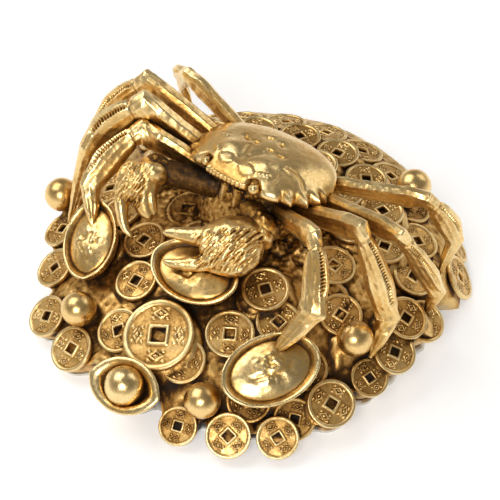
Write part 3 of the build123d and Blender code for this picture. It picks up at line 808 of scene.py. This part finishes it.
for way in (1, -1):
    hx = way * head_x
    relief += 1.15 * swelling(hx, head_y, (7.9, -8.4), (4.3, 3.6))
    relief += 0.6 * swelling(hx, head_y, (16, -1), (5, 6))
    relief -= 0.45 * stroke(hx, head_y, [(0.8, -12.6), (1.2, -9.0), (3.0, -5.2)], 1.2)
    for width, line in DENTS:
        relief -= 0.4 * stroke(hx, head_y, line, width)
        inner = [tuple(np.mean(line, axis=0) * (1 - s) + np.array(line[0]) * s) for s in (-0.5, 0.5)]
        relief -= 0.45 * stroke(hx, head_y, inner, 0.55 * width)
    relief += 0.3 * np.minimum(1.6 * swelling(hx, head_y, (4.5, -13.9), (2.9, 1.5)), 1)
    for amount, width, line in STROKES:
        relief += amount * stroke(hx, head_y, line, width)
    for at, size in BEADS:
        relief += 0.7 * swelling(hx, head_y, at, (size, size))
brow = ease(share, 0.74, 0.9)
relief -= 0.6 * bell(head, 21, 4) * brow
relief *= ease(1 - share, 0.0, 0.04)
bottom = (rim - 2.0) * share**4
height = bottom + (crown + relief - bottom) * level
move_corners(shell, from_shell(np.stack((x, y, height), 1)) * MM)
note(shell, "stained_and_shaded", 0.24 * bell(head, 23, 4) * brow)
close(shell)
roughen(shell, 7.0, 0.35)
roughen(shell, 1.6, 0.1)
hand_over(shell, "carapace", 60)

# %% [markdown]
# ## Eyes and mouth plates
# Each eye is a knob on a stalk that is set into the shell; the lathe turns it with a collar. The mouth plates
# are two small cast plates with a groove down the middle. Each is a cube that is subdivided, pressed in along
# its front and bevelled.

# %% Eyes
EYE = 1.8
EYES_WIDE, EYES_FRONT = 25.5, 18.6
stalk = [(0, EYE)] + [(EYE * sin(a), EYE * cos(a)) for a in np.linspace(0.12, 2.2, 20)]
stalk += [(1.2, -1.5), (1.4, -1.9), (1.3, -2.4), (1.2, -2.8), (1.2, -6.0), (0, -6.0)]
knobs = []
for way in (1, -1):
    knob = lathe("eye", stalk, 40)
    shape = corners(knob) / MM
    angle = radians(SOCKET)
    middle = spun(way * EYES_WIDE * sin(angle), -EYES_FRONT * cos(angle), -turned)
    placed = np.stack((shape[:, 0], -shape[:, 2], shape[:, 1] + 0.12 * np.sin(shape[:, 0] * 3)), 1)
    move_corners(knob, from_shell(np.array((*middle, RIM)) + placed) * MM)
    close(knob)
    knobs.append(knob)
eyes = join(knobs, "eyes_cast")
roughen(eyes, 1.5, 0.2)
hand_over(eyes, "eyes", 50)

# %% Mouth plates
plates = []
for places, _ in loose_solids("mouth_plates"):
    deselect()
    bpy.ops.mesh.primitive_cube_add(size=1)
    plate = bpy.context.object
    with edit(plate):
        bpy.ops.mesh.subdivide(number_cuts=9)
    lengths = np.ptp(places @ BODY_AXES.T, axis=0)
    shape = corners(plate) * lengths
    shape[:, 1] -= 0.35 * MM * np.cos(shape[:, 0] / lengths[0] * 2 * pi) * (shape[:, 1] < 0)
    move_corners(plate, (places.max(0) + places.min(0)) / 2 + shape @ BODY_AXES)
    apply(plate, "BEVEL", width=0.6 * MM, segments=3, limit_method="ANGLE")
    plates.append(plate)
mouth = join(plates, "mouth_cast")
roughen(mouth, 2.0, 0.5)
hand_over(mouth, "mouth_plates", 50)

# %% [markdown]
# ## Underbody
# The breast casting is rough and rocky. A merged copy of its solid is remeshed into even voxels, which gives
# enough corners to push about, and clouds of two sizes break up its surface.

# %% Underbody
breast = new_piece("breast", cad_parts["underbody"].data.copy())
close(breast, 1e-7)
apply(breast, "REMESH", mode="VOXEL", voxel_size=0.45 * MM)
apply(breast, "SMOOTH", iterations=3, factor=0.5)
roughen(breast, 5.0, 1.6)
roughen(breast, 1.8, 0.9)
# Painted shade under the shell, along with patina, over the whole underbody.
note(breast, "stained_and_shaded", 0.2)
hand_over(breast, "underbody", 60)

# %% [markdown]
# ## Legs
# A leg is a bent bar with flat sides: a four-sided upper part, an angular knee, a wide blade of a shin and a
# pointed toe. Along the back edge of the shin runs a groove that is ribbed like a comb. A flat grid is rolled
# round a centre line through root, knee, ankle and tip, and each ring is given its own thickness and depth. A
# ten-sided section keeps the sides flat, a roll about the shin turns the blade as on the casting, and at knee
# and ankle the rings are mitred, so that the bends stay sharp and full.

# %% Roll a tube
def roll(name, centre, side, deep, half_side, half_deep, around, relief=None, section=None):
    """Rolls a grid round a centre line: a row per ring, in mm, with half sizes along side and deep."""
    rings = len(centre)
    deselect()
    bpy.ops.mesh.primitive_grid_add(x_subdivisions=around, y_subdivisions=rings - 1, size=1)
    tube = bpy.context.object
    tube.name = name
    flat = corners(tube)
    ring = np.rint((flat[:, 1] + 0.5) * (rings - 1)).astype(int)
    turn = (flat[:, 0] + 0.5) * 2 * pi
    out = np.zeros(len(ring)) if relief is None else relief(turn, ring)
    open_end = np.minimum(half_side, half_deep)[ring] > 1e-6
    across, up = np.cos(turn), np.sin(turn)
    if section is not None:
        across, up = (np.interp(turn, section[:, 0], section[:, i]) for i in (1, 2))
    across, up = across * (half_side[ring] + out * open_end), up * (half_deep[ring] + out * open_end)
    move_corners(tube, (centre[ring] + side[ring] * across[:, None] + deep[ring] * up[:, None]) * MM)
    close(tube)
    return tube


def soften(values, rings):
    """Running mean along a line, with its ends held."""
    kernel = np.ones(2 * rings + 1) / (2 * rings + 1)
    padded = np.concatenate((np.repeat(values[:1], rings, 0), values, np.repeat(values[-1:], rings, 0)))
    return np.apply_along_axis(np.convolve, 0, padded, kernel, "valid")


def marks_along(points):
    """Distance along a line from its start to each of its points."""
    return np.concatenate(([0], np.cumsum(np.linalg.norm(np.diff(points, axis=0), axis=1))))


def follow(run, marks, points):
    """Values along a line, at runs between the marks of its points."""
    return np.stack([np.interp(run, marks, column) for column in np.transpose(points)], 1)


def stretch(run, start, full, fading, end):
    """1 from full to fading, 0 before start and after end, with soft runs between."""
    return ease(run, start, full) * (1 - ease(run, fading, end))


ROOT_WIDE, ROOT_LONG = 0.86 * 20.5, 0.86 * 14


def limb_root(bearing, height):
    """Where a limb leaves the breast: a bearing in degrees from the crab's left, and a height in the body."""
    angle = radians(bearing)
    return from_body((ROOT_WIDE * cos(angle), ROOT_LONG * sin(angle), height))


# %% Leg castings
# Each row: bearing and height of the root in the body, knee and ankle from the body, tip, stoutness, roll and
# stoutness of the toe. A tip that names no height stands at the foot of its solid.
LEGS = {
    "left_leg_1": (-40, -9, (39.3, -21.4, 6), (50.5, -34.8, -9.5), (42.0, -37.7, 24.9), 1.0, -35, 1.35),
    "left_leg_2": (-16, -9, (49.6, -10.6, 8), (64.8, -13.5, -21), (63.0, -11.5, None), 1.04, -30, 1.2),
    "left_leg_3": (18, -4.5, (60.5, -3.5, 7), (69.0, 8, -24), (64.5, 16.5, None), 0.92, -25, 1.0),
    "left_leg_4": (40, -4, (54.0, 20.5, 0), (62, 27, -19), (57.0, 35.0, None), 0.92, -20, 1.0),
    "right_leg_1": (220, -9, (-38.6, -16.8, 2), (-42.9, -39.0, -10.2), (-37.6, -35.3, 30.7), 1.1, -12, 1.05),
    "right_leg_2": (190, -8, (-42.6, -12.0, 7.7), (-52.4, -28.2, -6.5), (-56.0, -28.5, None), 1.36, -15, 1.0),
    "right_leg_3": (152, -6, (-50.4, -1.4, 6.6), (-63.0, -12.6, -14), (-63.0, -7.0, None), 1.08, -15, 1.0),
    "right_leg_4": (116, -5, (-45.0, 14.6, 1.6), (-57, 24, -15), (-56.0, 37.0, None), 0.95, 0, 1.0),
}
FACETS = [(1.0, 0.1), (0.82, 0.7), (0.36, 1.0), (-0.36, 1.0), (-0.82, 0.7)]
FACETS += [(-1.0, 0.1), (-0.86, -0.5), (-0.34, -1.0), (0.34, -1.0), (0.86, -0.5)]
facets = np.array(FACETS + FACETS[:1])
facet_run = marks_along(facets * (2.7, 4.6))
section = np.column_stack((facet_run / facet_run[-1] * 2 * pi, facets))
# Half sizes in mm at twelve stations from root to tip; the toe's own factor works on the ninth and tenth.
THICK = np.array([2.2, 2.3, 2.6, 2.8, 2.7, 2.2, 2.3, 2.5, 2.0, 1.7, 0.9, 0.6])
DEPTH = np.array([2.4, 2.7, 3.6, 4.6, 3.6, 3.0, 3.8, 4.7, 3.0, 2.2, 0.9, 0.6])
STEP, RIB, SHIN_BOW, SUNK_IN = 0.24, 1.0, 2.2, 3
KNEE_MITRE, ANKLE_MITRE, MITRE_LIMIT = 6.0, 5.0, 1.32
for node, (bearing, low, knee, ankle, tip, stout, twist, toe) in LEGS.items():
    root = limb_root(bearing, low)
    knee, ankle = BODY_AT + np.array(knee), BODY_AT + np.array(ankle)
    tip = np.array((tip[0], tip[1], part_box(node)[0].z / MM if tip[2] is None else tip[2]))
    upper, shin = unit(knee - root), unit(ankle - knee)
    shin_side = unit(np.cross(upper, shin))
    upper_side = unit(np.cross((0, 0, 1), upper))
    if upper_side @ shin_side < 0:
        upper_side = -upper_side
    bends = [root - upper * SUNK_IN, root, knee, ankle, tip]
    marks = marks_along(bends)
    root_at, knee_at, ankle_at, tip_at = marks[1:]
    run = np.linspace(0, tip_at, int(tip_at / STEP))
    centre = follow(run, marks, bends)
    upper_span, shin_span, toe_span = np.diff(marks[1:])
    on_shin = np.clip((run - knee_at) / shin_span, 0, 1)
    centre += np.outer(np.sin(pi * on_shin) * SHIN_BOW, unit(upper - shin))
    centre = soften(centre, 2)
    ahead = unit(np.gradient(centre, axis=0))
    on_knee = ease(run, knee_at - 4, knee_at + 4)[:, None]
    side = upper_side * (1 - on_knee) + shin_side * on_knee
    side = unit(side - ahead * np.einsum("ij,ij->i", side, ahead)[:, None])
    deep = np.cross(ahead, side)
    if deep[int(knee_at / STEP)] @ (upper - shin) < 0:
        side, deep = -side, -deep
    side, deep = spun(side, deep, -radians(twist) * on_knee)
    for bend_at, reach in ((knee_at, KNEE_MITRE), (ankle_at, ANKLE_MITRE)):
        here = int(bend_at / STEP)
        before, after = ahead[here - 7], ahead[here + 7]
        out, fold = unit(before - after), unit(np.cross(before, after))
        facing = out @ deep[here]
        grow = min(1 / sqrt((1 + before @ after) / 2), MITRE_LIMIT)
        near = np.clip(1 - np.abs(run - bend_at) / reach, 0, 1) * ease(abs(facing), 0.45, 0.85)
        side = side * (1 - near[:, None]) + np.outer(near, fold * np.sign(fold @ side[here]))
        deep = deep * (1 - near[:, None]) + np.outer(near, out * np.sign(facing) * grow)
    at = [0, root_at + 5, root_at + 0.4 * upper_span, root_at + 0.85 * upper_span]
    at += [knee_at + share * shin_span for share in (0, 0.16, 0.32, 0.66)]
    at += [ankle_at, ankle_at + 0.5 * toe_span, tip_at - 1.2, tip_at]
    grown = np.array([1] * 8 + [toe] * 2 + [1] * 2)
    knob = 0.3 * (toe - 0.9) * bell(run - ankle_at, 1.6)
    knob -= 0.1 * bell(run - knee_at - 4.4, 0.5)
    thick, depth = (
        soften(np.interp(run, at, half * grown * stout), int(1.2 / STEP)) * (1 + knob)
        for half in (THICK, DEPTH)
    )
    for end in (0, -1):
        thick[end] = depth[end] = 0
    comb_part = stretch(run, knee_at + 4.5, knee_at + 6, knee_at + 0.68 * shin_span, ankle_at - 3)
    upper_part = stretch(run, root_at + 7, root_at + 11, knee_at - 6, knee_at - 3.5)
    shin_part = stretch(run, knee_at + 4.5, knee_at + 7, ankle_at - 4, ankle_at - 1)
    toe_part = stretch(run, ankle_at + 3, ankle_at + 5, tip_at - 5, tip_at - 1)

    def leg_relief(turn, ring):
        """A ribbed groove near the back edge of the shin, and shallow bands along all three parts."""
        height = np.interp(turn, section[:, 0], section[:, 2])
        flank = ease(np.abs(np.interp(turn, section[:, 0], section[:, 1])), 0.4, 0.5)
        groove = bell(height - 0.8, 0.16, 4) * flank
        band = bell(height, 0.5, 4) * flank
        rib = 0.5 + 0.5 * np.sin((run[ring] + 1.6 * height) * 2 * pi / RIB)
        shallow = -0.5 * upper_part[ring] - 0.3 * toe_part[ring] - 0.35 * shin_part[ring]
        return stout * (groove * comb_part[ring] * (0.55 * rib - 0.85) + band * shallow)

    leg = roll(node, centre, side, deep, thick, depth, 80, leg_relief, section)
    roughen(leg, 3.0, 0.35)
    roughen(leg, 9.0, 0.7)
    hand_over(leg, node, 28)

# %% [markdown]
# ## Claws
# Each arm ends in a knuckle with a spine. The palm is a broad flat pear that is raked with short cuts like
# wet fur and stays smooth along its top; two curved fingers grow out of it round a wide gap. The parts are
# rolled separately, joined and remeshed into one skin, as wax parts are melted together, and the cuts are
# pressed in after that.

# %% Wax parts
def melt(pieces, name, voxel, passes):
    """Joins wax parts into one skin."""
    piece = join(pieces, name)
    apply(piece, "REMESH", mode="VOXEL", voxel_size=voxel * MM)
    apply(piece, "SMOOTH", iterations=passes, factor=0.5)
    return piece


def egg(centre, radii, axes=np.eye(3)):
    """A ball squeezed along three axes, in mm."""
    piece = ball(1, 32, 20)
    move_corners(piece, (np.asarray(centre) + (corners(piece) * radii) @ axes) * MM)
    return piece


def limb(name, points, halves, thin, around=40):
    """A tube through points, in mm, with (thickness, depth) halves at each and rounded ends."""
    marks = marks_along(points)
    run = np.linspace(0, marks[-1], int(marks[-1] / 0.35))
    centre, half = soften(follow(run, marks, points), 5), soften(follow(run, marks, halves), 4)
    ahead = unit(np.gradient(centre, axis=0))
    side = unit(thin - ahead * (ahead @ np.asarray(thin))[:, None])
    deep = np.cross(ahead, side)
    for index, share in enumerate((0.0, 0.45, 0.68, 0.83, 0.93)):
        half[index] *= share
        half[-1 - index] *= share
    return roll(name, centre, side, deep, half[:, 0], half[:, 1], around)


# %% Claw arms and claws
# Arms: bearing of the root, wrist from the body, and painted shade, much darker on the right arm, which lies
# in
# shadow under the shell. Claws: the way across the palm, heading of the cuts, the band that is raked, then
# stations from the wrist, with half thickness and half depth, for the palm and for the two fingers.
ARMS = {"left": (-70, (16.5, -19.0, -7.0), 0.2), "right": (250, (-27.0, -23.5, -3.5), 0.55)}
CLAWS = {
    "left": (
        (-0.45, 0.8, 0.4), (0.76, -0.65), (-8.5, 3.2),
        [(5.5, -5.1, -1.0, 3.0, 2.4), (3.0, -6.7, -1.1, 5.2, 7.6), (-0.4, -8.8, -1.4, 6.4, 10.3),
         (-4.3, -11.9, -1.9, 6.6, 10.8), (-7.5, -14.6, -2.4, 5.8, 9.4), (-10.5, -17.2, -2.9, 4.4, 7.8),
         (-12.2, -18.8, -3.2, 2.6, 6.0)],
        [(-9.7, -13.0, -1.3, 3.6, 4.6), (-14.3, -15.3, -1.4, 3.0, 3.6), (-16.7, -16.6, -1.5, 2.5, 2.9),
         (-20.4, -18.3, -1.5, 2.0, 2.3), (-22.8, -19.6, -1.6, 1.6, 1.8), (-26.0, -21.7, -1.8, 0.6, 0.6)],
        [(-5.5, -18.2, -4.2, 3.6, 3.4), (-8.8, -21.8, -5.0, 2.9, 2.8), (-10.8, -23.4, -5.3, 2.5, 2.5),
         (-13.9, -25.9, -5.7, 2.0, 1.9), (-16.8, -27.5, -5.8, 1.6, 1.5), (-20.3, -28.3, -5.5, 0.6, 0.6)],
    ),
    "right": (
        (0.5, 0.84, 0.2), (0.95, -0.3), (-7.0, 1.5),
        [(-1.8, -2.5, 2.4, 3.2, 3.1), (-2.0, -4.8, 1.3, 5.2, 6.2), (-1.4, -7.1, -0.3, 6.0, 7.3),
         (-0.7, -9.5, -1.9, 5.8, 6.8), (0.4, -11.8, -3.7, 4.8, 6.3), (1.5, -13.6, -5.3, 3.2, 5.0)],
        [(2.4, -9.2, -3.2, 3.8, 4.0), (4.2, -11.3, -5.4, 3.4, 3.5), (6.5, -12.0, -6.9, 2.6, 2.8),
         (8.4, -12.4, -8.0, 1.7, 1.8), (9.8, -12.7, -9.0, 0.6, 0.5)],
        [(-2.2, -12.8, -2.8, 3.4, 3.3), (-1.1, -16.0, -5.2, 2.7, 2.5), (0.7, -18.0, -7.2, 2.2, 2.0),
         (2.9, -19.6, -9.2, 1.8, 1.7), (5.2, -20.5, -10.9, 1.4, 1.3), (8.0, -20.3, -12.2, 0.6, 0.5)],
    ),
}
# The right claw's bar behind its inner finger: stations from the wrist, as above.
BAR = np.array([
    (1.8, -3.6, 0.2, 3.6, 2.6), (2.9, -4.4, -0.8, 3.6, 2.5), (4.3, -7.2, -3.2, 3.4, 2.1),
    (7.0, -9.6, -5.8, 2.9, 1.7), (10.1, -11.4, -8.3, 0.8, 0.6),
])
KNUCKLE, CUT_ROWS, CUT_COLUMNS, CUT_DEPTH = 5.2, 12, 9, 0.8
for hand, (bearing, wrist, stain_and_shade) in ARMS.items():
    root = limb_root(bearing, -10)
    wrist = BODY_AT + np.array(wrist)
    along = unit(wrist - root)
    thin = unit(np.cross(along, (0, 0, 1)))
    rise = np.cross(thin, along)
    spine_axes = np.array((thin, along, rise))
    arm = melt([
        limb("arm", [root - along * SUNK_IN, root, wrist], [(3.8, 3.8), (4.2, 4.2), (4.4, 4.4)], thin),
        egg(wrist, (KNUCKLE, KNUCKLE, KNUCKLE)),
        egg(wrist + rise * 3.6 + along * 0.5, (1.5, 1.5, 2.8), spine_axes),
        egg(wrist + rise * 3.9 - along * 2.6, (1.3, 1.5, 1.5), spine_axes),
    ], f"{hand}_arm", 0.35, 4)
    roughen(arm, 3.0, 0.7)
    # The arm's painted shade.
    note(arm, "stained_and_shaded", stain_and_shade)
    hand_over(arm, f"{hand}_claw_arm", 60)

    across, cut, raked, *stations = CLAWS[hand]
    stations = [np.array(rows) for rows in stations]
    palm = wrist + stations[0][:, :3]
    heading = unit(palm[-1] - palm[0])
    thin = unit(np.cross(heading, unit(across)))
    across = np.cross(thin, heading)
    parts = [limb("part", wrist + rows[:, :3], rows[:, 3:], thin, 48) for rows in stations]
    parts.append(limb("neck", [wrist, palm[1]], [(4.2, 4.2), (4.6, 4.8)], thin))
    if hand == "right":
        cap = wrist + (1.6, -3.0, 1.2)
        parts.append(egg(cap, (5.6, 4.0, 5.4), np.array((across, heading, thin))))
        parts.append(limb("bar", wrist + BAR[:, :3], BAR[:, 3:], thin))
    claw = melt(parts, f"{hand}_claw", 0.3, 6)
    shape = corners(claw) / MM
    outward = corners(claw, "normal")
    along_palm, over_palm = (shape - palm[0]) @ heading, (shape - palm[0]) @ across
    length = np.linalg.norm(palm[-1] - palm[0])
    press = np.zeros(len(shape))
    for row in range(CUT_ROWS):
        for column in range(CUT_COLUMNS):
            jog = sin(row * 12.9 + column * 78.2) * 0.9
            at_a = 1.5 + column * (length - 2) / 8 + 0.5 * (row % 2) * length / 8 + jog
            at_c = raked[0] + row * (raked[1] - raked[0]) / 11 + 0.6 * cos(row * 7.3 + column * 31.7)
            da, dc = along_palm - at_a, over_palm - at_c
            u = da * cut[0] + dc * cut[1]
            v = dc * cut[0] - da * cut[1] + 0.06 * u * u * sin(column + row)
            press = np.maximum(press, np.exp(-(u / 1.8) ** 4 - (v / 0.46) ** 2))
    press *= ease(np.abs(outward @ thin), 0.15, 0.45)
    press *= 1 - ease(along_palm, length - 1, length + 2.5)
    if hand == "right":
        press *= ease(np.linalg.norm(shape - cap, axis=1), 4.6, 6.2)
    move_corners(claw, (shape - outward * (CUT_DEPTH * press)[:, None]) * MM)
    roughen(claw, 4.0, 0.5)
    hand_over(claw, f"{hand}_claw", 60)

# %% [markdown]
# ## Patina and painted shade
# Rubbing reaches the high places and leaves patina in the hollows. Two measures give the `hollow` number: how
# far a corner lies under the mean of its neighbours, which finds grooves and edges, and how much of the open
# air nearby metal hides from it, which paints shade, along with patina, into the gaps between castings and
# under the crab. The stain and painted shade that each casting carries are added.

# %% Grooves and edges
def grooves(piece):
    """How hollow each corner is, in mm: over 0 in a groove, under 0 on an edge."""
    places, outward = corners(piece) / MM, corners(piece, "normal")
    total_corners = len(places)
    links = np.empty(len(piece.data.edges) * 2, dtype=np.int32)
    piece.data.edges.foreach_get("vertices", links)
    a, b = links[::2], links[1::2]
    count = np.maximum(np.bincount(links, minlength=total_corners), 1)
    mean, total, done = places.copy(), np.zeros(total_corners), 0
    for passes, weight in ((2, 1.0), (6, 0.8), (18, 0.5)):
        while done < passes:
            summed = np.stack([
                np.bincount(a, mean[b, i], total_corners) + np.bincount(b, mean[a, i], total_corners)
                for i in range(3)
            ], 1)
            mean, done = 0.5 * mean + 0.5 * summed / count[:, None], done + 1
        total += weight * np.einsum("ij,ij->i", mean - places, outward)
    return total


# %% Shelter from the air: painted shade and patina
def shelter(pieces, reach, rays, stride):
    """Share of the air within reach that metal hides, for every corner of every piece: painted shade and
    patina.
    """
    places, faces, base = [], [], 0
    for piece in pieces:
        places.append(corners(piece))
        faces.append(triangles_of(piece) + base)
        base += len(places[-1])
    metal = np.concatenate(places).tolist(), np.concatenate(faces).tolist()
    tree = BVHTree.FromPolygons(*metal, all_triangles=True)
    spiral = np.arange(rays) + 0.5
    height = np.sqrt(1 - spiral / rays)
    spin = spiral * pi * (3 - sqrt(5))
    flat = np.sqrt(1 - height**2)
    fan = np.stack((flat * np.cos(spin), flat * np.sin(spin), height), 1)
    shares = []
    for piece, spots in zip(pieces, places):
        outward = corners(piece, "normal")
        picked = np.arange(0, len(spots), stride)
        known = KDTree(len(picked))
        hidden = np.zeros(len(picked))
        for index, corner in enumerate(picked):
            normal = outward[corner]
            first = unit(np.cross(normal, (0.3, 0.9, 0.2)))
            second = np.cross(normal, first)
            start = Vector(spots[corner] + normal * 0.12 * MM)
            for way in fan @ np.stack((first, second, normal)):
                hit = tree.ray_cast(start, way, reach * MM)
                if hit[0] is not None:
                    hidden[index] += 1 - 0.5 * hit[3] / (reach * MM)
            known.insert(spots[corner], index)
        known.balance()
        share = np.empty(len(spots))
        for corner, spot in enumerate(spots):
            found = known.find_n(spot, 3)
            share[corner] = sum(hidden[i] for _, i, _ in found) / len(found) / rays
        shares.append(share)
    return shares


# %% Patina and painted shade
# SHELTERED weighs the shelter share, which paints shade and patina into gaps and under the crab; RUBBED_EDGE
# and DARK_GROOVE bound the wear on edges and the patina in grooves.
OPEN, SHELTERED, RUBBED_EDGE, DARK_GROOVE = 0.16, 0.88, -0.22, 0.45
AIR, RAYS, STRIDE = 12.0, 14, 5
hidden = [np.zeros(len(p.data.vertices)) for p in finished]
hidden = shelter(finished, AIR, RAYS, STRIDE)
for piece, share in zip(finished, hidden):
    hollow = OPEN + SHELTERED * share + np.clip(grooves(piece), RUBBED_EDGE, DARK_GROOVE)
    # The stain and painted shade that the casting carries.
    stain_and_shade = piece.data.attributes.get("stained_and_shaded")
    if stain_and_shade:
        left = np.empty(len(hollow), dtype=np.float32)
        stain_and_shade.data.foreach_get("value", left)
        hollow += left
        piece.data.attributes.remove(stain_and_shade)
    note(piece, "hollow", np.clip(hollow, 0, 1))
print("Castings aged:", len(finished), "corners", sum(len(p.data.vertices) for p in finished))
